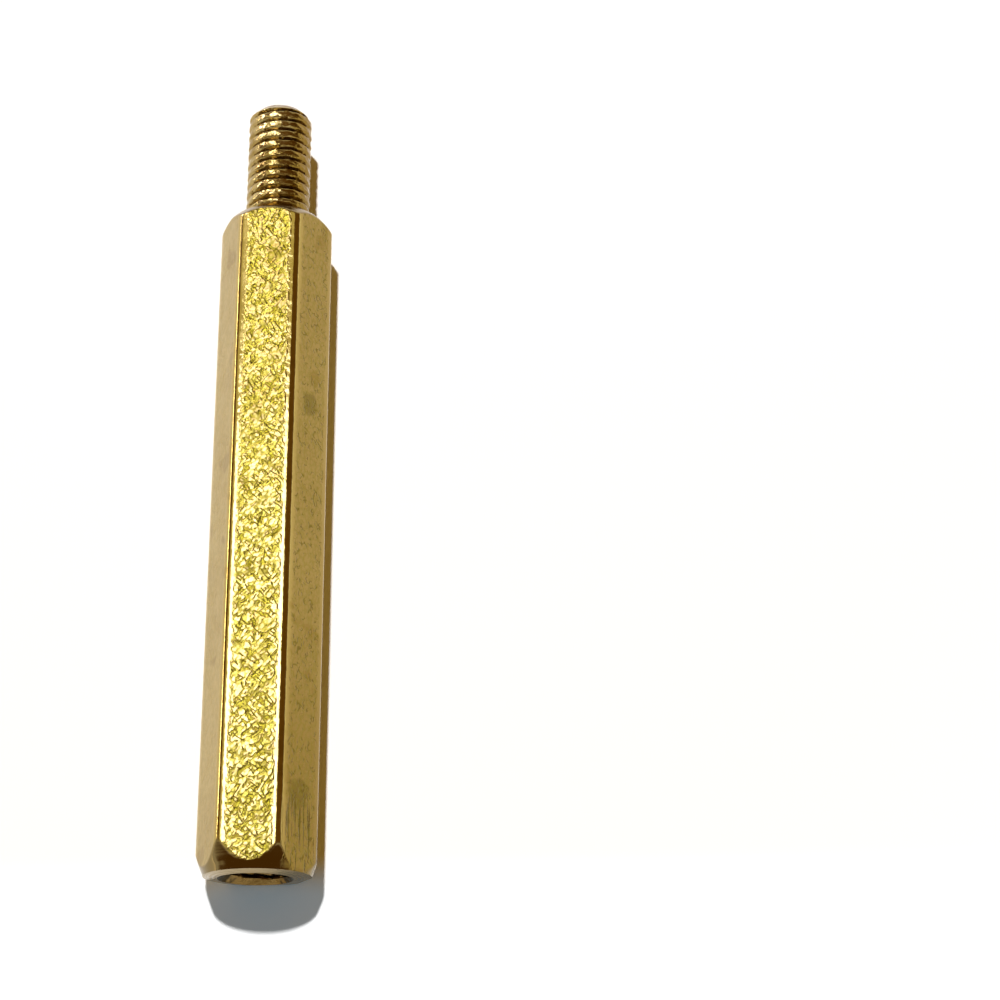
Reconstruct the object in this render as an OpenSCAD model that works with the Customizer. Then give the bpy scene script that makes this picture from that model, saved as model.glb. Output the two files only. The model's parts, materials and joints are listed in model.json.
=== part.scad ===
// Male-female hex standoff, turned from one length of drawn brass hexagon bar.
// Lies on one flat with its axis along Y and its stud towards +Y.
// The origin is on the axis, in the plane of the shoulder that seats on a board.

/* [Hexagon] */
// Distance across the flats
across_flats = 4.5; // [4:0.1:7]
// Length of the hexagon between its two end faces
body_len = 30; // [16:0.5:60]
// Radius on the six long edges
edge_radius = 0.3; // [0.1:0.05:0.6]

/* [Tapped end] */
// Diameter of the tapped hole at the crests of its thread
hole_d = 2.5; // [1.6:0.05:3]
// Depth of the tapped hole at its full diameter
hole_depth = 11; // [4:0.5:14]
// Angle of the drill point at the bottom of the hole
drill_angle = 118; // [90:1:140]
// How far the countersunk mouth widens the hole all round
mouth_margin = 0.325; // [0.05:0.025:0.4]
// Full angle of the countersink
mouth_angle = 90; // [60:5:120]
// How far the flat end face lies inside the flats
tapped_inset = 0.08; // [0.02:0.02:0.2]
// Angle between the end chamfer and the axis
tapped_slope = 27; // [20:1:50]

/* [Shoulder] */
// How far the flat shoulder face lies inside the flats
shoulder_inset = 0.15; // [0.02:0.01:0.3]
// Angle between the shoulder chamfer and the axis
shoulder_slope = 40; // [25:1:60]

/* [Stud] */
// Diameter over the crests of the stud's thread
stud_d = 2.9; // [2:0.05:3.9]
// Length of the stud from the shoulder to its tip
stud_len = 5.7; // [3:0.1:12]
// How deep the plain neck under the shoulder lies inside the crests
neck_inset = 0.17; // [0.02:0.01:0.3]
// Length of the plain neck
neck_len = 0.85; // [0.3:0.05:1.5]
// Size of the chamfer at the tip
tip_chamfer = 0.35; // [0.1:0.05:0.6]

/* [Hidden] */
$fn = 96;
across_corners = across_flats / cos(30);
// The edge arcs: their centres lie on the corner lines, and they meet the flats at the tangent points
edge_centre_r = (across_flats / 2 - edge_radius) / cos(30);
// The arcs stand this far proud of the flats, so that rounding leaves no sliver where they meet
arc_proud = 0.00005;
tapped_face_r = across_flats / 2 - tapped_inset;
shoulder_face_r = across_flats / 2 - shoulder_inset;
// The turned envelope stays this far outside the corners between its two chamfers
turned_margin = 0.5;
turned_r = across_corners / 2 + turned_margin;
tapped_run = (turned_r - tapped_face_r) / tan(tapped_slope);
shoulder_run = (turned_r - shoulder_face_r) / tan(shoulder_slope);
mouth_depth = mouth_margin / tan(mouth_angle / 2);
drill_point = hole_d / 2 / tan(drill_angle / 2);
// How far the hole's cut overshoots the end face, and how far the stud's root reaches into the bar
overshoot = 1;

// Section of the bar: a hexagon with a flat on top, whose six edges are true arcs
module bar_section() {
    polygon([for (k = [0:5], side = [-30, 30])
        edge_centre_r * [cos(60 * k), sin(60 * k)]
            + edge_radius * [cos(60 * k + side), sin(60 * k + side)]]);
    for (k = [0:5])
        rotate(60 * k)
            translate([edge_centre_r, 0])
                circle(r = edge_radius + arc_proud);
}

// The bar with both ends turned down to their chamfers, from z = -body_len to z = 0
module turned_bar() {
    intersection() {
        translate([0, 0, -body_len])
            linear_extrude(body_len)
                bar_section();
        rotate_extrude()
            polygon([
                [0, -body_len],
                [tapped_face_r, -body_len],
                [turned_r, tapped_run - body_len],
                [turned_r, -shoulder_run],
                [shoulder_face_r, 0],
                [0, 0]
            ]);
    }
}

// Blind hole with its drill point, from the tapped end inwards
module tapped_hole() {
    translate([0, 0, -body_len]) {
        translate([0, 0, -overshoot])
            cylinder(d = hole_d, h = hole_depth + overshoot);
        translate([0, 0, hole_depth])
            cylinder(d1 = hole_d, d2 = 0, h = drill_point);
        cylinder(d1 = hole_d + 2 * mouth_margin, d2 = hole_d, h = mouth_depth);
    }
}

// Plain neck, crest cylinder of the thread and the chamfered tip, from the shoulder outwards
module stud() {
    rotate_extrude()
        polygon([
            [0, -overshoot],
            [stud_d / 2 - neck_inset, -overshoot],
            [stud_d / 2 - neck_inset, neck_len],
            [stud_d / 2, neck_len],
            [stud_d / 2, stud_len - tip_chamfer],
            [stud_d / 2 - tip_chamfer, stud_len],
            [0, stud_len]
        ]);
}

// The whole turned piece, laid along Y
module hex_standoff() {
    color("goldenrod")
        rotate([-90, 0, 0])
            difference() {
                union() {
                    turned_bar();
                    stud();
                }
                tapped_hole();
            }
}

hex_standoff();
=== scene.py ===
import json
import math

import bmesh
import bpy
import numpy as np
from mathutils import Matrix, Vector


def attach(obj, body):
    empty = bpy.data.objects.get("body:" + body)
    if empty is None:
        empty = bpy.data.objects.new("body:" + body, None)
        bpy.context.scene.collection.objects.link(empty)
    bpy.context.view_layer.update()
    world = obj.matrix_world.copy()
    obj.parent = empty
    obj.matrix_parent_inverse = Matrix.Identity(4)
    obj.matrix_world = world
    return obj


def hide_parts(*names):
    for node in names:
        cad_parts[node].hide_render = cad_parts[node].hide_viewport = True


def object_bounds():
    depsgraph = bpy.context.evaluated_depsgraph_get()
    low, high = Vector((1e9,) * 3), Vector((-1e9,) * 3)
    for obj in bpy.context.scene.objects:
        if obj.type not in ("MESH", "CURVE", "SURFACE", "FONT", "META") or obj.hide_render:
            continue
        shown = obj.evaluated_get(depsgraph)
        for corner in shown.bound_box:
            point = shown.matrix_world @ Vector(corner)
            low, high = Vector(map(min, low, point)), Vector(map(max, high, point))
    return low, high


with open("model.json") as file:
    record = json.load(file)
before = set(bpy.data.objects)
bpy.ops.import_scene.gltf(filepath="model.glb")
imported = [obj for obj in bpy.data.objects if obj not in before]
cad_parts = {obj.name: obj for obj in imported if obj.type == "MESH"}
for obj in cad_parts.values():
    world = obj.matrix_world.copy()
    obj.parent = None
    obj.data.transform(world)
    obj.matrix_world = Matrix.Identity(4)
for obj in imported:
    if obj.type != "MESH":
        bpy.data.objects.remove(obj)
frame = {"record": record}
cadLow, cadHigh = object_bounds()
mounts = {mount["name"]: mount for mount in frame["record"]["mounts"]}
millimetre = 0.001
slack = 0.01  # points this near to a surface, in millimetres, count as on it

# The standoff is modelled upright on Z and in millimetres, as it stands in a lathe, and is laid down
# at the end. The shoulder is at z = 0, the stud points up and the tapped end is at the bottom.
# Once it is laid down, the model's X stays X, its Z is the frame's Y and its -Y is the frame's Z.


# Helpers for working in edit mode

def openMesh(piece):
    bpy.ops.object.select_all(action="DESELECT")
    piece.select_set(True)
    bpy.context.view_layer.objects.active = piece
    bpy.ops.object.mode_set(mode="EDIT")


def closeMesh():
    bpy.ops.object.mode_set(mode="OBJECT")


def pickEdges(test, openOnly=False):  # selects the edges whose two ends pass the test
    bpy.ops.mesh.select_mode(type="EDGE")
    bpy.ops.mesh.select_all(action="DESELECT")
    mesh = bmesh.from_edit_mesh(bpy.context.edit_object.data)
    for edge in mesh.edges:
        if (edge.is_boundary or not openOnly) and test(edge.verts[0].co, edge.verts[1].co):
            edge.select_set(True)
    bmesh.update_edit_mesh(bpy.context.edit_object.data)


def cutRows(low, high, cuts):  # cuts the upright edges between two heights into rows
    def upright(a, b):
        bottom, top = sorted((a.z, b.z))
        return top - bottom > 1e-4 and bottom > low - 1e-4 and top < high + 1e-4
    for count in cuts:
        pickEdges(upright)
        bpy.ops.mesh.subdivide(number_cuts=count)


def pullRing(height=0.0, scale=1.0):  # extrudes the selected ring along the axis, then sizes it about it
    bpy.ops.mesh.extrude_region_move(TRANSFORM_OT_translate={"value": (0, 0, height)})
    bpy.ops.transform.resize(value=(scale, scale, 1), center_override=(0, 0, 0))


def readPoints(piece):
    points = np.empty(len(piece.data.vertices) * 3)
    piece.data.vertices.foreach_get("co", points)
    return points.reshape(-1, 3)


def writePoints(piece, points):
    piece.data.vertices.foreach_set("co", points.ravel())
    piece.data.update()


def markPoints(piece, skin, rubbedAndSheen, turned, groove):  # values on each point, for the materials to read
    for name, values in (("skin", skin), ("rubbedAndSheen", rubbedAndSheen), ("turned", turned), ("groove", groove)):
        mark = piece.data.attributes.new(name, "FLOAT", "POINT")
        values = np.broadcast_to(values, len(piece.data.vertices)).astype(np.float32)
        mark.data.foreach_set("value", values)


def softLeast(a, b, blend):  # the smaller of two values, with a rounded join
    share = np.clip(0.5 + 0.5 * (b - a) / blend, 0, 1)
    return b + (a - b) * share - blend * share * (1 - share)


def softMost(a, b, blend):
    return -softLeast(-a, -b, blend)


def ease(value, low, high):  # runs smoothly from 0 at low to 1 at high
    share = np.clip((value - low) / (high - low), 0, 1)
    return share * share * (3 - 2 * share)


# The hexagonal bar, with its turned ends

bar = {
    "acrossFlats": round((cadHigh.z - cadLow.z) / millimetre, 2),
    "length": round(-cadLow.y / millimetre, 2),
    "edgeRadius": 0.3,
    "edgeSegments": 5,
    "flatColumns": 24,
    "crowding": 0.5,  # how much closer the columns stand near a flat's margins
    "endZone": 1.6,  # rows stand closer together here
    "endRows": (31,),
    "middleRows": (49, 5),
    "peelDepth": 0.006,
    "peelSize": 0.2,
    "waveDepth": 0.007,
    "waveSize": 0.9,
    "edgeRubbed": 0.92,  # how much of the orange peel is rubbed off the edges
    "marginWidth": 0.18,  # the flats roll off by this slope over a narrow margin
    "marginSlope": 0.08,
    "marginBlend": 0.08,
    "marginLimit": 1.2,  # the roll goes no lower than this many margins would take it
    "marginSway": 0.045,
    "swayPaces": (2.3, 5.1, 11.7, 19.3),
    "rubbedEdge": (-0.03, 0.03),
    "turnedEdge": (-0.04, 0.01),  # how far past the turned shape a point has to be to count as turned
    "turnedBand": (0.08, 0.22),  # and how near an end's face all of it is turned
}
tappedEnd = {
    "faceRadius": 2.26,
    "rise": 0.38,
    "run": 1.15,
    "power": 1.0,
    "offCentre": (0.06, 0.13),
    "blend": 0.02,
    "coned": 0.1,
    "conedOver": 0.6,
}
shoulder = {
    "faceRadius": 2.08,
    "rise": 0.5,
    "run": 0.56,
    "power": 0.95,
    "offCentre": (0.0, 0.0),
    "blend": 0.05,
    "coned": 0.02,
    "conedOver": 0.6,
}


def turnEnd(points, distance, turned):  # takes an end down to its turned shape and returns what was turned
    offset = points[:, :2] - np.array(turned["offCentre"])
    reach = np.linalg.norm(offset, axis=1)
    limit = turned["faceRadius"] + turned["rise"] * np.clip(distance / turned["run"], 0, 4) ** turned["power"]
    lowered = softLeast(reach, limit, turned["blend"])
    points[:, :2] = np.array(turned["offCentre"]) + offset * (lowered / reach)[:, None]
    outwards = np.sign(points[:, 2] + bar["length"] / 2)
    points[:, 2] -= turned["coned"] * (1 - ease(distance, 0, turned["conedOver"])) * outwards
    return np.maximum(ease(reach - limit, *bar["turnedEdge"]), 1 - ease(distance, *bar["turnedBand"]))


def placeOnFlats(points):  # each point's angle from the middle of its flat, its reach and half a flat's width
    angle = (np.arctan2(points[:, 1], points[:, 0]) + math.tau) % (math.tau / 6) - math.tau / 12
    reach = np.linalg.norm(points[:, :2], axis=1)
    return angle, reach, (bar["acrossFlats"] / 2 - bar["edgeRadius"]) * math.tan(math.radians(30))


def crowdMargins(points):  # moves the columns of each flat closer together towards its two margins
    angle, reach, halfFlat = placeOnFlats(points)
    across = reach * np.sin(angle)
    share = np.clip(across / halfFlat, -1, 1)
    crowded = bar["crowding"] * halfFlat * (np.sin(share * math.pi / 2) - share)
    moved = np.where(np.abs(across) < halfFlat, crowded, 0)
    middle = np.arctan2(points[:, 1], points[:, 0]) - angle
    points[:, 0] -= moved * np.sin(middle)
    points[:, 1] += moved * np.cos(middle)


def rollMargins(points):  # rolls off the margins of the flats and returns 0 on the flats and 1 on the edges
    angle, reach, halfFlat = placeOnFlats(points)
    sway = sum(np.sin(points[:, 2] * pace + 2 * pace * angle) for pace in bar["swayPaces"]) / 3
    past = np.abs(reach * np.sin(angle)) - halfFlat + bar["marginWidth"] + bar["marginSway"] * sway
    drop = bar["marginSlope"] * softMost(past, 0 * past, bar["marginBlend"])
    drop = np.minimum(drop, bar["marginSlope"] * bar["marginWidth"] * bar["marginLimit"])
    points[:, :2] *= (1 - drop / reach)[:, None]
    return ease(past, *bar["rubbedEdge"])


def dentSkin(piece, name):  # dents only, so nothing stands past the bar's true size
    clouds = bpy.data.textures.new(name, "CLOUDS")
    clouds.noise_scale = bar[name + "Size"]
    clouds.noise_depth = 1
    dent = piece.modifiers.new(name, "DISPLACE")
    dent.texture = clouds
    dent.texture_coords = "LOCAL"
    dent.vertex_group = "drawnSkin"
    dent.mid_level = 1.0
    dent.strength = bar[name + "Depth"]
    bpy.ops.object.modifier_apply(modifier=name)


def makeBar():
    bpy.ops.object.select_all(action="DESELECT")
    bpy.ops.mesh.primitive_circle_add(vertices=6, radius=bar["acrossFlats"] / math.sqrt(3), fill_type="NGON",
                                      location=(0, 0, -bar["length"]), rotation=(0, 0, math.radians(30)))
    piece = bpy.context.active_object
    piece.name = "hex_bar"
    bpy.ops.object.transform_apply(location=True, rotation=True)
    openMesh(piece)
    bpy.ops.mesh.bevel(offset=bar["edgeRadius"] * math.tan(math.radians(30)), segments=bar["edgeSegments"],
                       affect="VERTICES", profile=0.5)
    bpy.ops.mesh.delete(type="ONLY_FACE")
    pickEdges(lambda a, b: (a - b).length > bar["acrossFlats"] / 3)
    bpy.ops.mesh.subdivide(number_cuts=bar["flatColumns"] - 1)
    bpy.ops.mesh.select_all(action="SELECT")
    middle = bar["length"] - 2 * bar["endZone"]
    for height in (bar["endZone"], middle, bar["endZone"]):
        bpy.ops.mesh.extrude_region_move(TRANSFORM_OT_translate={"value": (0, 0, height)})
    cutRows(-bar["length"], bar["endZone"] - bar["length"], bar["endRows"])
    cutRows(bar["endZone"] - bar["length"], -bar["endZone"], bar["middleRows"])
    cutRows(-bar["endZone"], 0, bar["endRows"])
    bpy.ops.mesh.select_all(action="SELECT")
    bpy.ops.mesh.normals_make_consistent(inside=False)
    closeMesh()

    points = readPoints(piece)
    crowdMargins(points)
    onEdge = rollMargins(points)
    turned = np.maximum(turnEnd(points, points[:, 2] + bar["length"], tappedEnd),
                        turnEnd(points, -points[:, 2], shoulder))
    writePoints(piece, points)
    skin = (1 - turned) * (1 - bar["edgeRubbed"] * onEdge)
    markPoints(piece, skin, onEdge * (1 - turned), turned, 0)
    group = piece.vertex_groups.new(name="drawnSkin")
    for index, share in enumerate(skin):
        group.add([index], float(share), "REPLACE")
    dentSkin(piece, "peel")
    dentSkin(piece, "wave")
    print("bar:", bar["acrossFlats"], "mm across flats,", bar["length"], "mm long,", len(points), "points")
    return piece


# The right-hand thread, which the stud and the hole share

thread = {
    "pitch": 0.5,
    "crestCurve": 0.05,
    "crestLean": 0.076,
    "flankWidth": 0.42,
    "crestBlend": 0.3,
    "rootBlend": 0.2,
}


def threadHeight(points, start):  # 1 on the crests and 0 at the roots
    angle = np.arctan2(points[:, 1], points[:, 0]) / math.tau
    across = ((points[:, 2] / thread["pitch"] - angle + start) % 1 - 0.5) * 2  # from root to root, -1 to 1
    crest = 1 - thread["crestCurve"] * across ** 2 - thread["crestLean"] * across
    ridge = softLeast((1 - np.abs(across)) / thread["flankWidth"], crest, thread["crestBlend"])
    return softMost(ridge, 0 * across, thread["rootBlend"])


# The stud, with its neck

stud = {
    "crestRadius": mounts["threaded_stud"]["dims"]["r_mm"],
    "rootRadius": 1.22,
    "neckRadius": 1.28,
    "neckLength": 0.6,
    "neckRows": (9,),
    "runOut": 0.3,  # the thread fades in over this length
    "filletRadius": 0.12,
    "length": round(cadHigh.y / millimetre, 2),
    "tipRadius": 1.06,
    "tipSlope": 1.05,
    "tipBlend": 0.05,
    "tipRings": (0.6, 0.5),
    "darkTip": (0.32, 0.14),  # the tip's chamfer is as dark as the roots
    "columns": 84,
    "threadRows": (12, 8),
    "threadStart": 0.2,
    "unevenness": 0.026,  # how much the crests' height varies
    "unevenWaves": ((5, 9.1), (9, -13.3), (13, 19.7), (17, -24.1)),  # turns about the axis and pace along it
}


def makeStud():
    bpy.ops.object.select_all(action="DESELECT")
    bpy.ops.mesh.primitive_circle_add(vertices=stud["columns"], radius=stud["neckRadius"], location=(0, 0, 0))
    piece = bpy.context.active_object
    piece.name = "threaded_stud"
    openMesh(piece)
    bpy.ops.mesh.select_all(action="SELECT")
    threadFoot = stud["neckLength"] - stud["runOut"]
    pullRing(threadFoot)
    pullRing(stud["length"] - stud["neckLength"] + stud["runOut"])
    for scale in stud["tipRings"]:
        pullRing(scale=scale)
    bpy.ops.mesh.merge(type="CENTER")
    cutRows(0, threadFoot, stud["neckRows"])
    cutRows(threadFoot, stud["length"], stud["threadRows"])
    closeMesh()

    points = readPoints(piece)
    reach = np.linalg.norm(points[:, :2], axis=1)
    height = points[:, 2]
    wall = reach > stud["neckRadius"] - slack
    crest = threadHeight(points, stud["threadStart"])
    angle = np.arctan2(points[:, 1], points[:, 0])
    uneven = sum(np.sin(turns * angle + pace * height) for turns, pace in stud["unevenWaves"])
    depth = (stud["crestRadius"] - stud["rootRadius"]) * (1 - stud["unevenness"] * (2 + uneven).clip(0, 4))
    begun = ease(height, threadFoot, stud["neckLength"])
    radius = stud["neckRadius"] + (stud["rootRadius"] + depth * crest - stud["neckRadius"]) * begun
    fillet = np.clip(1 - height / stud["filletRadius"], 0, 1)
    radius = radius + stud["filletRadius"] * (1 - np.sqrt(1 - fillet ** 2))
    tip = stud["tipRadius"] + (stud["length"] - height) * stud["tipSlope"]
    radius = softLeast(radius, tip, stud["tipBlend"])
    scale = np.where(wall, radius / np.maximum(reach, 1e-6), stud["tipRadius"] / stud["neckRadius"])
    points[:, :2] *= scale[:, None]
    writePoints(piece, points)
    nearTip = ease(height, *(stud["length"] - away for away in stud["darkTip"]))
    groove = np.where(wall, np.maximum((1 - crest) * begun, nearTip), 0)
    markPoints(piece, 0, 0, 1 - begun, groove)
    print("stud:", stud["length"], "mm long,", len(points), "points")
    return piece


# The tapped blind hole, with its countersunk mouth and its drill point

bore = {
    "crestRadius": mounts["tapped_hole"]["dims"]["r_mm"],
    "rootRadius": 1.49,
    "mouthRadius": 1.575,
    "mouthSlope": 1.0,
    "mouthBlend": 0.05,
    "depth": 11.0,
    "threadDepth": 6.5,
    "pointHeight": 0.75,
    "pointRings": ((0.5, 0.5), (0.4, 0.2)),  # each ring's share of the height and its scale
    "columns": 60,
    "threadRows": (12, 9),
    "threadStart": 0.6,
    "recessShade": (1, 0.3),  # painted shade on all of the wall, and more in the grooves
}


def makeBore():
    bpy.ops.object.select_all(action="DESELECT")
    bpy.ops.mesh.primitive_circle_add(vertices=bore["columns"], radius=bore["crestRadius"],
                                      location=(0, 0, -bar["length"]))
    piece = bpy.context.active_object
    piece.name = "tapped_bore"
    bpy.ops.object.transform_apply(location=True)
    openMesh(piece)
    bpy.ops.mesh.select_all(action="SELECT")
    pullRing(bore["threadDepth"])
    pullRing(bore["depth"] - bore["threadDepth"])
    for share, scale in bore["pointRings"]:
        pullRing(bore["pointHeight"] * share, scale)
    bpy.ops.mesh.merge(type="CENTER")
    cutRows(-bar["length"], bore["threadDepth"] - bar["length"], bore["threadRows"])
    closeMesh()

    points = readPoints(piece)
    reach = np.linalg.norm(points[:, :2], axis=1)
    depth = points[:, 2] + bar["length"]
    wall = reach > bore["crestRadius"] - slack
    groove = 1 - threadHeight(points, bore["threadStart"])
    groove *= 1 - ease(depth, bore["threadDepth"] - thread["pitch"], bore["threadDepth"])
    radius = bore["crestRadius"] + (bore["rootRadius"] - bore["crestRadius"]) * groove
    radius = softMost(radius, bore["mouthRadius"] - depth * bore["mouthSlope"], bore["mouthBlend"])
    points[:, :2] *= np.where(wall, radius / np.maximum(reach, 1e-6), 1)[:, None]
    writePoints(piece, points)
    markPoints(piece, 0, 0, 1, bore["recessShade"][0] + bore["recessShade"][1] * groove)
    print("hole:", bore["depth"], "mm deep,", len(points), "points")
    return piece


# The three shapes become one closed standoff, laid down

def makeStandoff():
    pieces = [makeBar(), makeStud(), makeBore()]
    bpy.ops.object.select_all(action="DESELECT")
    for piece in pieces:
        piece.select_set(True)
    bpy.context.view_layer.objects.active = pieces[0]
    bpy.ops.object.join()
    piece = bpy.context.active_object
    piece.name = "standoff"
    openMesh(piece)
    for height in (0, -bar["length"]):
        pickEdges(lambda a, b: abs(a.z - height) < 0.5, openOnly=True)
        bpy.ops.mesh.bridge_edge_loops()
    bpy.ops.mesh.select_all(action="SELECT")
    bpy.ops.mesh.normals_make_consistent(inside=False)
    closeMesh()
    piece.rotation_euler = (math.radians(-90), 0, 0)
    piece.scale = (millimetre,) * 3
    bpy.ops.object.transform_apply(rotation=True, scale=True)
    bpy.ops.object.shade_smooth_by_angle(angle=math.radians(38))
    print("standoff:", len(piece.data.vertices), "points,", len(piece.data.polygons), "faces")
    return piece


standoff = makeStandoff()


# Building blocks for the materials

def addNode(tree, kind, inputs=None, **settings):  # an input is a socket to link or a plain value to set
    node = tree.nodes.new("ShaderNode" + kind)
    for name, value in settings.items():
        setattr(node, name, value)
    for name, value in (inputs or {}).items():
        if isinstance(value, bpy.types.NodeSocket):
            tree.links.new(value, node.inputs[name])
        else:
            node.inputs[name].default_value = value
    return node


def calc(tree, operation, *values):
    return addNode(tree, "Math", dict(enumerate(values)), operation=operation).outputs[0]


def ramp(tree, value, low, high, toLow=0.0, toHigh=1.0):  # a smooth step from one value to another
    inputs = {"Value": value, "From Min": low, "From Max": high, "To Min": toLow, "To Max": toHigh}
    return addNode(tree, "MapRange", inputs, interpolation_type="SMOOTHSTEP").outputs[0]


def mixColour(tree, share, first, second):
    return addNode(tree, "Mix", {0: share, 6: first, 7: second}, data_type="RGBA").outputs[2]


def noise(tree, vector, scale, detail=2.0, roughness=0.5):
    inputs = {"Vector": vector, "Scale": scale, "Detail": detail, "Roughness": roughness}
    return addNode(tree, "TexNoise", inputs).outputs["Fac"]


def stretch(tree, vector, sizes, turn=0.0):  # turns a pattern about Z and gives it these sizes along its axes
    inputs = {"Vector": vector, "Scale": sizes, "Rotation": (0, 0, math.radians(turn))}
    return addNode(tree, "Mapping", inputs, vector_type="TEXTURE").outputs[0]


def readMark(tree, name):  # a value that markPoints left on the points
    return addNode(tree, "Attribute", attribute_name=name).outputs["Fac"]


def splitAxes(tree, vector):
    return addNode(tree, "SeparateXYZ", {0: vector}).outputs


def newGroup(name, inputs, outputs):
    tree = bpy.data.node_groups.new(name, "ShaderNodeTree")
    kinds = {"Color": "NodeSocketColor", "Vector": "NodeSocketVector"}
    for label, value in inputs.items():
        kind = kinds.get(value, "NodeSocketFloat")
        socket = tree.interface.new_socket(name=label, in_out="INPUT", socket_type=kind)
        if value not in kinds:
            socket.default_value = value
    for label, value in outputs.items():
        kind = kinds.get(value, "NodeSocketFloat")
        tree.interface.new_socket(name=label, in_out="OUTPUT", socket_type=kind)
    return tree, tree.nodes.new("NodeGroupInput").outputs, tree.nodes.new("NodeGroupOutput").inputs


def useGroup(tree, group, inputs):
    return addNode(tree, "Group", inputs, node_tree=group).outputs


# Patterns that the materials share. Sizes are in millimetres and turns in degrees, and a scale is in patches
# to the millimetre. A band is where a value, or a place along an axis, takes full effect.

noiseBand = (0.3, 0.7)  # where most of a noise lies

tarnishMarks = {
    "cloudScale": 0.5,
    "cloudBand": (0.35, 0.75),
    "stainScale": 0.7,
    "stainBand": (0.6, 0.68),
    "speckScale": 4.5,
    "speckSizes": (1, 2, 1),
    "speckBand": (0.68, 0.76),
}


def makeBrassTone():  # brass with soft clouds of tarnish, small stains and dark specks
    inputs = {"Place": "Vector", "Brass": "Color", "Tarnish": "Color",
              "Clouds": 0.3, "Stains": 0.5, "Specks": 0.5}
    tree, given, result = newGroup("brassTone", inputs, {"Color": "Color"})
    place = given["Place"]
    clouds = noise(tree, place, tarnishMarks["cloudScale"], detail=4)
    clouds = ramp(tree, clouds, *tarnishMarks["cloudBand"])
    stains = noise(tree, place, tarnishMarks["stainScale"], roughness=0.4)
    stains = ramp(tree, stains, *tarnishMarks["stainBand"])
    specks = stretch(tree, place, tarnishMarks["speckSizes"])
    specks = noise(tree, specks, tarnishMarks["speckScale"], roughness=0.6)
    specks = ramp(tree, specks, *tarnishMarks["speckBand"])
    share = calc(tree, "MULTIPLY", clouds, given["Clouds"])
    share = calc(tree, "MAXIMUM", share, calc(tree, "MULTIPLY", stains, given["Stains"]))
    share = calc(tree, "MAXIMUM", share, calc(tree, "MULTIPLY", specks, given["Specks"]))
    tree.links.new(mixColour(tree, share, given["Brass"], given["Tarnish"]), result["Color"])
    return tree


grains = {
    "swayScale": 3.0,
    "swayReach": 0.2,
    "slant": -35,
    "smoothness": 0.15,
    "randomness": 0.9,
    "domeTop": 0.6,
    "domePower": 3.0,
    "creaseBand": (0.36, 0.6),
    "roughScale": 9,
    "roughHeight": 0.25,
}


def makeOrangePeel():  # crowded round grains with creases between them
    tree, given, result = newGroup("orangePeel", {"Place": "Vector", "Grain": 0.19, "Stretch": 1.4},
                                   {"Height": "Value", "Crease": "Value"})
    place = given["Place"]
    inputs = {"Vector": place, "Scale": grains["swayScale"], "Detail": 1.0}
    sway = addNode(tree, "TexNoise", inputs).outputs["Color"]
    sway = addNode(tree, "VectorMath", {0: sway, 1: (0.5,) * 3}, operation="SUBTRACT").outputs[0]
    inputs = {0: sway, 1: (grains["swayReach"],) * 3, 2: place}
    swayed = addNode(tree, "VectorMath", inputs, operation="MULTIPLY_ADD").outputs[0]
    length = calc(tree, "MULTIPLY", given["Grain"], given["Stretch"])
    sizes = addNode(tree, "CombineXYZ", {"X": given["Grain"], "Y": length, "Z": given["Grain"]}).outputs[0]
    inputs = {"Vector": stretch(tree, swayed, sizes, grains["slant"]), "Scale": 1.0,
              "Smoothness": grains["smoothness"], "Randomness": grains["randomness"]}
    reach = addNode(tree, "TexVoronoi", inputs, feature="SMOOTH_F1").outputs["Distance"]
    dome = calc(tree, "SUBTRACT", grains["domeTop"], calc(tree, "POWER", reach, grains["domePower"]))
    rough = calc(tree, "MULTIPLY", noise(tree, place, grains["roughScale"]), grains["roughHeight"])
    tree.links.new(calc(tree, "ADD", dome, rough), result["Height"])
    tree.links.new(ramp(tree, reach, *grains["creaseBand"]), result["Crease"])
    return tree


nickMarks = {
    "sizes": (0.2, 0.55, 0.3),
    "runs": ((-38, 0), (42, 7)),  # each run's turn, and a shift that gives it a pattern of its own
    "spotScale": 3.1,
    "spotBlend": 0.08,
}


def makeDashes():  # short thin nicks, slanting both ways
    inputs = {"Place": "Vector", "Width": 0.1, "Least": 0.5}
    tree, given, result = newGroup("dashes", inputs, {"Mask": "Value"})
    masks = []
    for turn, shift in nickMarks["runs"]:
        vector = addNode(tree, "VectorMath", {0: given["Place"], 1: (shift,) * 3}).outputs[0]
        spread = noise(tree, stretch(tree, vector, nickMarks["sizes"], turn), 1, detail=0)
        line = calc(tree, "ABSOLUTE", calc(tree, "SUBTRACT", spread, 0.5))
        line = ramp(tree, line, 0, given["Width"], 1, 0)
        spots = noise(tree, vector, nickMarks["spotScale"], detail=0)
        kept = ramp(tree, spots, given["Least"], calc(tree, "ADD", given["Least"], nickMarks["spotBlend"]))
        masks.append(calc(tree, "MULTIPLY", line, kept))
    tree.links.new(calc(tree, "MAXIMUM", *masks), result["Mask"])
    return tree


def makeToolRings():  # fine rings left by the turning tool, both along the axis and across a face
    tree, given, result = newGroup("toolRings", {"Place": "Vector", "Rings": 14.0}, {"Height": "Value"})
    axes = splitAxes(tree, given["Place"])
    squares = [calc(tree, "MULTIPLY", axes[name], axes[name]) for name in ("X", "Z")]
    reach = calc(tree, "SQRT", calc(tree, "ADD", *squares))
    across = calc(tree, "MULTIPLY", calc(tree, "SUBTRACT", reach, axes["Y"]), given["Rings"])
    rings = addNode(tree, "TexNoise", {"W": across, "Scale": 1.0, "Detail": 3.0}, noise_dimensions="1D")
    tree.links.new(rings.outputs["Fac"], result["Height"])
    return tree


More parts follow.
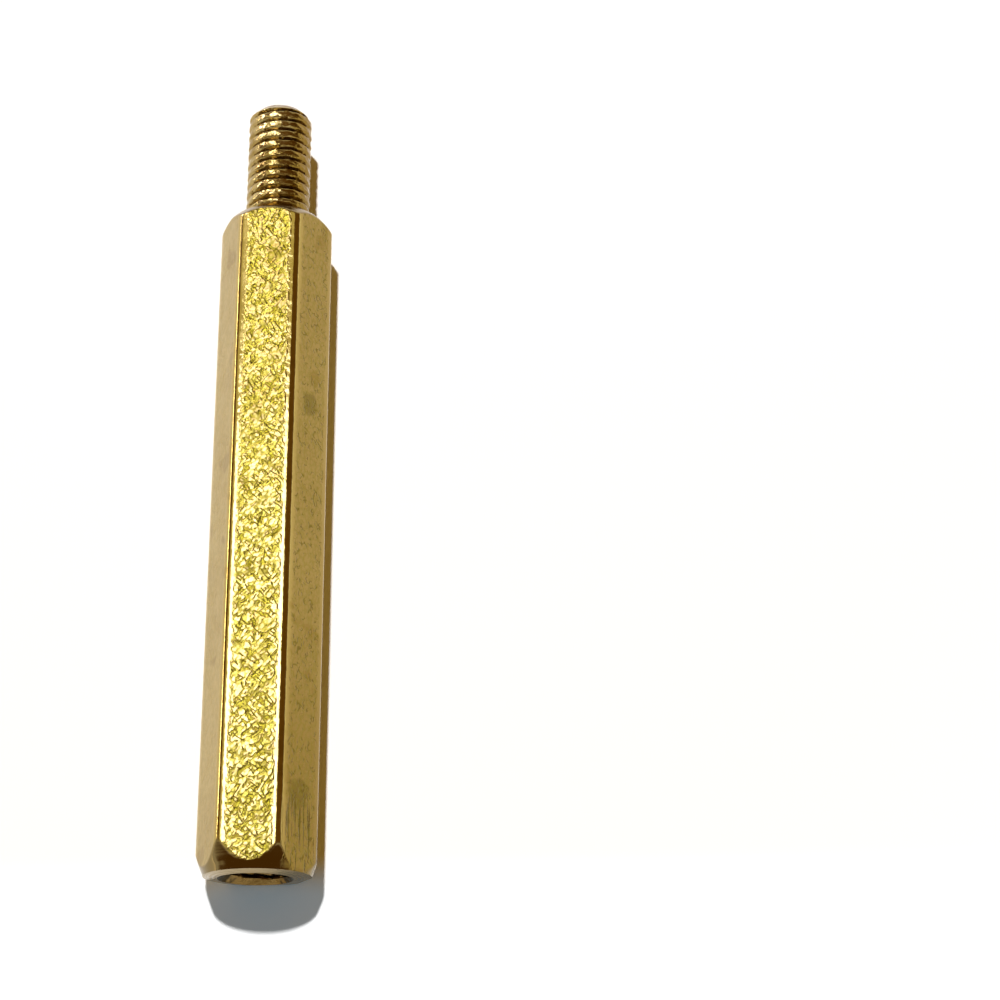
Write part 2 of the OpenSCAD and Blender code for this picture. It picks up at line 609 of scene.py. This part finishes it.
def makeDrawMarks():  # faint scores along the bar from the drawing die
    tree, given, result = newGroup("drawMarks", {"Place": "Vector", "Fineness": 9.0}, {"Height": "Value"})
    along = stretch(tree, given["Place"], (1, 25, 1))  # 25 times as long as they are wide
    marks = noise(tree, along, given["Fineness"], detail=3, roughness=0.65)
    tree.links.new(marks, result["Height"])
    return tree


brassTone = makeBrassTone()
orangePeel = makeOrangePeel()
dashes = makeDashes()
toolRings = makeToolRings()
drawMarks = makeDrawMarks()


# The three finishes of the brass

brass = {
    "bright": (0.4, 0.303, 0.098, 1),
    "face": (0.3, 0.2, 0.055, 1),
    "chamfer": (0.21, 0.148, 0.055, 1),
    "tarnish": (0.21, 0.128, 0.015, 1),
    "pit": (0.12, 0.085, 0.006, 1),
    # a lighter colour for the edges: rubbed wear, with a painted highlight along them
    "rubbedAndSheen": (0.52, 0.4, 0.12, 1),
    # the darker colour of the painted shade in the grains' creases
    "crease": (0.2, 0.165, 0.012, 1),
}


def newMaterial(name):  # a metal, and the place on the standoff counted in millimetres
    material = bpy.data.materials.new(name)
    material.use_nodes = True
    tree = material.node_tree
    shader = tree.nodes["Principled BSDF"]
    shader.inputs["Metallic"].default_value = 1
    inputs = {0: addNode(tree, "TexCoord").outputs["Object"], "Scale": 1 / millimetre}
    place = addNode(tree, "VectorMath", inputs, operation="SCALE").outputs[0]
    return material, tree, shader, place


def toneOf(tree, place, metal, marks):
    inputs = {"Place": place, "Brass": metal, "Tarnish": brass["tarnish"]}
    return useGroup(tree, brassTone, inputs | marks)["Color"]


def finishMaterial(tree, shader, colour, roughness, height):
    tree.links.new(colour, shader.inputs["Base Color"])
    tree.links.new(roughness, shader.inputs["Roughness"])
    bump = addNode(tree, "Bump", {"Strength": 1, "Distance": millimetre, "Height": height})
    tree.links.new(bump.outputs[0], shader.inputs["Normal"])


drawnBrass = {
    "roughness": (0.19, 0.29),
    "roughnessScale": 1.3,
    "smoothing": 0.13,  # taken off the roughness on the edges and the turned ends
    "tone": {"Clouds": 0.2, "Stains": 0.5},
    "specks": (0.6, 0.1),  # on the marked flats and on the plain ones
    "grain": 0.16,
    "grainStretch": 1.6,
    "grainHeight": 0.023,
    # how much painted shade lies in the creases
    "creaseShadeShare": 0.8,
    "sideGrain": 0.45,
    "plainGrain": 0.25,
    "nickWidth": (0.07, 0.1),  # on the side flats and on the top and bottom ones
    "nickLeast": (0.57, 0.47),  # nicks are fewer where this is more
    "nickDepth": 0.009,
    "sideNicks": 0.8,
    "markFineness": 9.0,
    "markHeight": 0.0015,
    "rings": 14.0,
    "ringHeight": 0.002,
    "rubbedAndSheen": 0.3,
    "topBand": (1.9, 2.15),
    "plainBand": (-1.6, -1.25),
    "rightSideBand": (1.25, 1.6),
    "paintedSideShade": 0.42,  # painted shade: more of the tarnish colour on the right-hand side
    "paintedSideShadeEnd": 0.28,  # and more again towards the tapped end
    "endBand": (-27, -17),
    "spots": ((2.1, -9.4, 1.3, 0.72), (2.0, -26.7, 1.3, 0.8)),  # large stains, each with its place and size
    "spotDepth": 0.6,
    "spotFade": (0.1, 0.4),
    "ragScale": 2.5,
    "ragDepth": 0.8,
    "scoreSizes": (0.13, 2.4, 0.13),
    "scoreBand": (0.53, 0.61),
    "scoreEnd": (-27.6, -26.6),
    "scoreDepth": 0.018,
}


def makeSpots(tree, place, onSide):  # large ragged stains on the right-hand side
    rag = noise(tree, place, drawnBrass["ragScale"], detail=3, roughness=0.6)
    rag = calc(tree, "MULTIPLY", rag, drawnBrass["ragDepth"])
    low, high = drawnBrass["spotFade"]
    spotted = 0
    for x, y, z, size in drawnBrass["spots"]:
        away = addNode(tree, "VectorMath", {0: place, 1: (x, y, z)}, operation="DISTANCE").outputs["Value"]
        spot = ramp(tree, calc(tree, "ADD", away, rag), size + low, size + high, 1, 0)
        spotted = calc(tree, "MAXIMUM", spotted, calc(tree, "MULTIPLY", spot, onSide))
    return spotted


def makeScores(tree, place, onSide, along):  # short scores on the right-hand side, close to the tapped end
    scored = noise(tree, stretch(tree, place, drawnBrass["scoreSizes"]), 1)
    scored = ramp(tree, scored, *drawnBrass["scoreBand"])
    nearEnd = calc(tree, "MULTIPLY", onSide, ramp(tree, along, *drawnBrass["scoreEnd"], 1, 0))
    return calc(tree, "MULTIPLY", scored, nearEnd)


def makeDrawnBrass():
    material, tree, shader, place = newMaterial("drawnBrass")
    skin, turned, rubbedAndSheen = [readMark(tree, name) for name in ("skin", "turned", "rubbedAndSheen")]
    axes = splitAxes(tree, place)
    # The top and bottom flats are the roughest, the right-hand side is stained, scored and darkened with
    # painted shade, and the other is hardly marked
    onTop = ramp(tree, calc(tree, "ABSOLUTE", axes["Z"]), *drawnBrass["topBand"])
    onSide = ramp(tree, axes["X"], *drawnBrass["rightSideBand"])
    plain = ramp(tree, axes["X"], *drawnBrass["plainBand"], 1, 0)

    sideGrain = ramp(tree, plain, 0, 1, drawnBrass["sideGrain"], drawnBrass["plainGrain"])
    grainSkin = calc(tree, "MULTIPLY", skin, ramp(tree, onTop, 0, 1, sideGrain, 1))
    inputs = {"Place": place, "Grain": drawnBrass["grain"], "Stretch": drawnBrass["grainStretch"]}
    peel = useGroup(tree, orangePeel, inputs)
    width = ramp(tree, onTop, 0, 1, *drawnBrass["nickWidth"])
    least = ramp(tree, onTop, 0, 1, *drawnBrass["nickLeast"])
    nicks = useGroup(tree, dashes, {"Place": place, "Width": width, "Least": least})["Mask"]
    marked = calc(tree, "MAXIMUM", calc(tree, "SUBTRACT", skin, plain), 0)
    nicks = calc(tree, "MULTIPLY", nicks, marked)
    nicks = calc(tree, "MULTIPLY", nicks, ramp(tree, onTop, 0, 1, drawnBrass["sideNicks"], 1))
    scored = makeScores(tree, place, onSide, axes["Y"])

    specks = ramp(tree, plain, 0, 1, *drawnBrass["specks"])
    tone = toneOf(tree, place, brass["bright"], drawnBrass["tone"] | {"Specks": specks})
    # The edges go lighter: rubbed wear and a painted highlight
    tone = mixColour(tree, calc(tree, "MULTIPLY", rubbedAndSheen, drawnBrass["rubbedAndSheen"]), tone, brass["rubbedAndSheen"])
    tone = mixColour(tree, turned, tone, brass["chamfer"])
    # Painted shade: the right-hand side is mixed towards the tarnish colour, and more so towards the tapped
    # end
    paintedSideShade = ramp(tree, axes["Y"], *drawnBrass["endBand"], drawnBrass["paintedSideShade"] + drawnBrass["paintedSideShadeEnd"],
                   drawnBrass["paintedSideShade"])
    colour = mixColour(tree, calc(tree, "MULTIPLY", onSide, paintedSideShade), tone, brass["tarnish"])
    spotted = calc(tree, "MULTIPLY", makeSpots(tree, place, onSide), drawnBrass["spotDepth"])
    colour = mixColour(tree, spotted, colour, brass["pit"])
    colour = mixColour(tree, calc(tree, "MAXIMUM", nicks, scored), colour, brass["pit"])
    # Painted shade in the creases between the grains
    creaseShade = calc(tree, "MULTIPLY", peel["Crease"], grainSkin)
    creaseShade = calc(tree, "MULTIPLY", creaseShade, drawnBrass["creaseShadeShare"])
    colour = mixColour(tree, creaseShade, colour, brass["crease"])

    marks = useGroup(tree, drawMarks, {"Place": place, "Fineness": drawnBrass["markFineness"]})["Height"]
    rings = useGroup(tree, toolRings, {"Place": place, "Rings": drawnBrass["rings"]})["Height"]
    grain = calc(tree, "MULTIPLY", peel["Height"], drawnBrass["grainHeight"])
    height = calc(tree, "MULTIPLY", grain, grainSkin)
    height = calc(tree, "ADD", height, calc(tree, "MULTIPLY", marks, drawnBrass["markHeight"]))
    height = calc(tree, "SUBTRACT", height, calc(tree, "MULTIPLY", nicks, drawnBrass["nickDepth"]))
    height = calc(tree, "SUBTRACT", height, calc(tree, "MULTIPLY", scored, drawnBrass["scoreDepth"]))
    rings = calc(tree, "MULTIPLY", calc(tree, "MULTIPLY", rings, drawnBrass["ringHeight"]), turned)
    height = calc(tree, "ADD", height, rings)

    roughness = noise(tree, place, drawnBrass["roughnessScale"], detail=3)
    roughness = ramp(tree, roughness, *noiseBand, *drawnBrass["roughness"])
    smooth = calc(tree, "MULTIPLY", calc(tree, "MAXIMUM", rubbedAndSheen, turned), drawnBrass["smoothing"])
    finishMaterial(tree, shader, colour, calc(tree, "SUBTRACT", roughness, smooth), height)
    return material


turnedBrass = {
    "tone": {"Clouds": 0.3, "Stains": 0.2, "Specks": 0.3},
    "roughness": (0.17, 0.3),
    "rings": 14.0,
    "ringHeight": 0.003,
}


def makeTurnedBrass():
    material, tree, shader, place = newMaterial("turnedBrass")
    colour = toneOf(tree, place, brass["face"], turnedBrass["tone"])
    rings = useGroup(tree, toolRings, {"Place": place, "Rings": turnedBrass["rings"]})["Height"]
    height = calc(tree, "MULTIPLY", rings, turnedBrass["ringHeight"])
    roughness = ramp(tree, rings, *noiseBand, *turnedBrass["roughness"])
    finishMaterial(tree, shader, colour, roughness, height)
    return material


threadBrass = {
    "tone": {"Clouds": 0.6, "Stains": 0.6, "Specks": 0.6},
    "crests": (0.42, 0.33, 0.135, 1),
    # the colour of the painted shade in the roots and the hole
    "roots": (0.12, 0.06, 0.012, 1),
    "recessShade": 0.8,
    "recessShadeBand": (0.5, 1.2),
    "paintedSideShade": 0.85,
    "rightSideBand": (0.4, 0.9),
    "roughness": (0.12, 0.26),
    "rings": 16.0,
    "ringHeight": 0.001,
    "gritScale": 8,
    "gritHeight": 0.008,
    "gritShade": 0.5,  # how unevenly the painted shade lies
    "lumpSizes": (0.3, 0.24, 0.3),
    "lumpTurn": 25,
    "lumpHeight": 0.045,
}


def makeThreadBrass():
    material, tree, shader, place = newMaterial("threadBrass")
    groove = readMark(tree, "groove")
    grit = noise(tree, place, threadBrass["gritScale"])
    lumps = stretch(tree, place, threadBrass["lumpSizes"], threadBrass["lumpTurn"])
    lumps = noise(tree, lumps, 1, detail=1)
    tone = toneOf(tree, place, threadBrass["crests"], threadBrass["tone"])
    # Painted shade: the right-hand side of the threads is mixed towards the tarnish colour
    paintedSideShade = ramp(tree, splitAxes(tree, place)["X"], *threadBrass["rightSideBand"], 0, threadBrass["paintedSideShade"])
    tone = mixColour(tree, paintedSideShade, tone, brass["tarnish"])
    # Painted shade in the thread's roots and inside the hole, mixed towards the roots' colour
    recessShade = calc(tree, "ADD", groove, calc(tree, "MULTIPLY", grit, threadBrass["gritShade"]))
    recessShade = calc(tree, "MULTIPLY", ramp(tree, recessShade, *threadBrass["recessShadeBand"]), threadBrass["recessShade"])
    colour = mixColour(tree, recessShade, tone, threadBrass["roots"])
    rings = useGroup(tree, toolRings, {"Place": place, "Rings": threadBrass["rings"]})["Height"]
    height = calc(tree, "ADD", calc(tree, "MULTIPLY", rings, threadBrass["ringHeight"]),
                  calc(tree, "MULTIPLY", grit, threadBrass["gritHeight"]))
    height = calc(tree, "ADD", height, calc(tree, "MULTIPLY", lumps, threadBrass["lumpHeight"]))
    roughness = ramp(tree, grit, *noiseBand, *threadBrass["roughness"])
    finishMaterial(tree, shader, colour, roughness, height)
    return material


def dressStandoff(piece):  # gives the flats, the turned faces and the threads each their own finish
    for material in (makeDrawnBrass(), makeTurnedBrass(), makeThreadBrass()):
        piece.data.materials.append(material)
    centres = np.empty(len(piece.data.polygons) * 3)
    piece.data.polygons.foreach_get("center", centres)
    centres = centres.reshape(-1, 3) / millimetre
    reach = np.hypot(centres[:, 0], centres[:, 2])
    along = centres[:, 1]
    onShoulder = (along > -shoulder["coned"]) & (along < slack)
    onTip = along > stud["length"] - slack
    onTappedEnd = (along < tappedEnd["coned"] - bar["length"]) & (reach > bore["mouthRadius"])
    onNeck = (along > 0) & (along < stud["neckLength"] - stud["runOut"] / 2)
    onStud = along > 0
    inBore = (along < 0) & (reach < bore["mouthRadius"] + bore["mouthBlend"])
    index = np.zeros(len(centres), int)
    index[onStud | inBore] = 2
    index[onShoulder | onTip | onTappedEnd | onNeck] = 1
    piece.data.polygons.foreach_set("material_index", index)
    piece.data.update()
    print("materials:", ", ".join(material.name for material in piece.data.materials))


dressStandoff(standoff)


# Camera, floor and lights

view = {
    "lens": 75.3,
    "sensor": 36,
    "nearest": 0.001,
    "place": (0.01406, -0.04407, 0.08602),
    "turn": (19.46, 2.68, -0.29),
}
floorFinish = {
    "size": 8.0,
    "lit": (1, 1, 1, 1),
    "shade": (0.0, 0.105, 0.185, 1),  # a painted glow near the standoff, which sets the colour of its shadow
    "paintedBrassGlow": (0.01, 0.01, 0, 1),  # and beside it a painted warm glow, standing in for the light the brass throws on the floor
    "besideBand": (-0.0305, -0.0285),
    # the painted glow runs from these colours near the standoff to white at this distance
    "reach": (0.03, 0.15),
}
lamps = {  # tilts and spans in degrees as seen from the standoff, with the light's brightness
    "key": {"tilt": (-1.2, 23), "span": (2.5, 2.5), "brightness": 1780, "colour": (1, 1, 1)},
    "window": {"tilt": (-9.5, 14.2), "span": (26, 15.4), "brightness": 6.9, "colour": (0.9, 0.97, 1.42)},
    "ceiling": {"tilt": (-18, 16), "span": (50, 52), "brightness": 0.85, "colour": (0.93, 0.94, 0.6)},
    "left": {"tilt": (-80, 62), "span": (3, 20), "brightness": 20, "colour": (1, 0.9, 0.85)},
    "farMiddle": {"tilt": (-21, 42), "span": (15, 14), "brightness": 13, "colour": (1, 0.95, 1.1)},
    "farLeft": {"tilt": (-65.5, 61), "span": (16, 12), "brightness": 15, "colour": (1, 0.9, 1.1)},
}
room = {
    "dark": (0.22, 0.11, 0.02, 1),
    "pale": (0.85, 0.8, 0.7, 1),
    "backdrop": (1, 1, 1, 1),
    "backdropTop": (0.1, 0.2),
    "endBand": (0.72, 0.86),
    "endTop": (0.4, 0.55),
    "sideBand": (0.35, 0.5),
    "sideMiddle": 0.13,
    "sideWidth": (0.12, 0.22),
    "frontBand": (-0.5, -0.38),
    "frontTop": (0.25, 0.4),
}


def makeCamera():
    bpy.ops.object.camera_add(location=view["place"], rotation=[math.radians(a) for a in view["turn"]])
    camera = bpy.context.active_object
    camera.name = "camera"
    camera.data.lens = view["lens"]
    camera.data.sensor_width = view["sensor"]
    camera.data.clip_start = view["nearest"]
    bpy.context.scene.camera = camera


def makeFloor():
    bpy.ops.mesh.primitive_plane_add(size=floorFinish["size"], location=(0, 0, cadLow.z))
    floor = bpy.context.active_object
    floor.name = "floor"
    bpy.ops.object.transform_apply(location=True)
    material = bpy.data.materials.new("paleFloor")
    material.use_nodes = True
    tree = material.node_tree
    shader = tree.nodes["Principled BSDF"]
    shader.inputs["Base Color"].default_value = floorFinish["lit"]
    shader.inputs["Roughness"].default_value = 1
    shader.inputs["Specular IOR Level"].default_value = 0
    rays = addNode(tree, "LightPath").outputs
    seen = calc(tree, "MAXIMUM", rays["Is Glossy Ray"], rays["Is Transmission Ray"])
    seen = calc(tree, "MAXIMUM", rays["Is Camera Ray"], seen)
    # The floor glows for camera and mirrored rays: painted shade near the standoff, a painted warm glow
    # beside it, white further out
    place = addNode(tree, "TexCoord").outputs["Object"]
    reach = addNode(tree, "VectorMath", {0: place}, operation="LENGTH").outputs["Value"]
    beside = ramp(tree, splitAxes(tree, place)["Y"], *floorFinish["besideBand"])
    near = mixColour(tree, beside, floorFinish["shade"], floorFinish["paintedBrassGlow"])
    glow = mixColour(tree, ramp(tree, reach, *floorFinish["reach"]), near, floorFinish["lit"])
    tree.links.new(glow, shader.inputs["Emission Color"])
    tree.links.new(seen, shader.inputs["Emission Strength"])
    floor.data.materials.append(material)
    return floor


def makeLamp(name, distance=1.0):
    settings = lamps[name]
    slopes = [math.tan(math.radians(a)) for a in settings["tilt"]]
    direction = np.array([slopes[0], slopes[1], 1])
    direction /= np.linalg.norm(direction)
    width, length = [2 * distance * math.tan(math.radians(a / 2)) for a in settings["span"]]
    bpy.ops.object.light_add(type="AREA", location=direction * distance, rotation=(0, 0, 0))
    lamp = bpy.context.active_object
    lamp.name = name + "Lamp"
    lamp.rotation_mode = "YXZ"
    lamp.rotation_euler = (-math.asin(direction[1]), math.atan2(direction[0], direction[2]), 0)
    lamp.data.shape = "RECTANGLE"
    lamp.data.size = width
    lamp.data.size_y = length
    lamp.data.energy = settings["brightness"] * math.pi * width * length
    lamp.data.color = settings["colour"]
    lamp.visible_diffuse = name == "key"  # the key lights the floor, and the brass mirrors all the others
    lamp.visible_glossy = name != "key"


def makeRoom():  # a dark room with a pale backdrop and pale walls, as the brass mirrors it
    world = bpy.data.worlds.new("room")
    world.use_nodes = True
    bpy.context.scene.world = world
    tree = world.node_tree
    axes = splitAxes(tree, addNode(tree, "TexCoord").outputs["Generated"])
    rays = addNode(tree, "LightPath").outputs
    backdrop = ramp(tree, axes["Z"], *room["backdropTop"], 1, 0)
    ends = calc(tree, "MULTIPLY", ramp(tree, calc(tree, "ABSOLUTE", axes["Y"]), *room["endBand"]),
                ramp(tree, axes["Z"], *room["endTop"], 1, 0))
    middle = calc(tree, "ABSOLUTE", calc(tree, "ADD", axes["Y"], room["sideMiddle"]))
    sides = calc(tree, "MULTIPLY", ramp(tree, calc(tree, "ABSOLUTE", axes["X"]), *room["sideBand"]),
                 ramp(tree, middle, *room["sideWidth"], 1, 0))
    front = calc(tree, "MULTIPLY", ramp(tree, axes["Y"], *room["frontBand"], 1, 0),
                 ramp(tree, axes["Z"], *room["frontTop"], 1, 0))
    walls = calc(tree, "MAXIMUM", calc(tree, "MAXIMUM", ends, sides), front)
    walls = mixColour(tree, walls, room["dark"], room["pale"])
    mirrored = mixColour(tree, backdrop, walls, room["backdrop"])
    colour = mixColour(tree, rays["Is Glossy Ray"], room["dark"], mirrored)
    colour = mixColour(tree, rays["Is Camera Ray"], colour, room["backdrop"])
    tree.links.new(colour, tree.nodes["Background"].inputs["Color"])


makeCamera()
floor = makeFloor()
for lampName in lamps:
    makeLamp(lampName)
makeRoom()
bpy.context.scene.view_settings.view_transform = "Standard"
print("stage: camera, floor, room and", len(lamps), "lamps")

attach(standoff, "root")
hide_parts("hex_standoff")
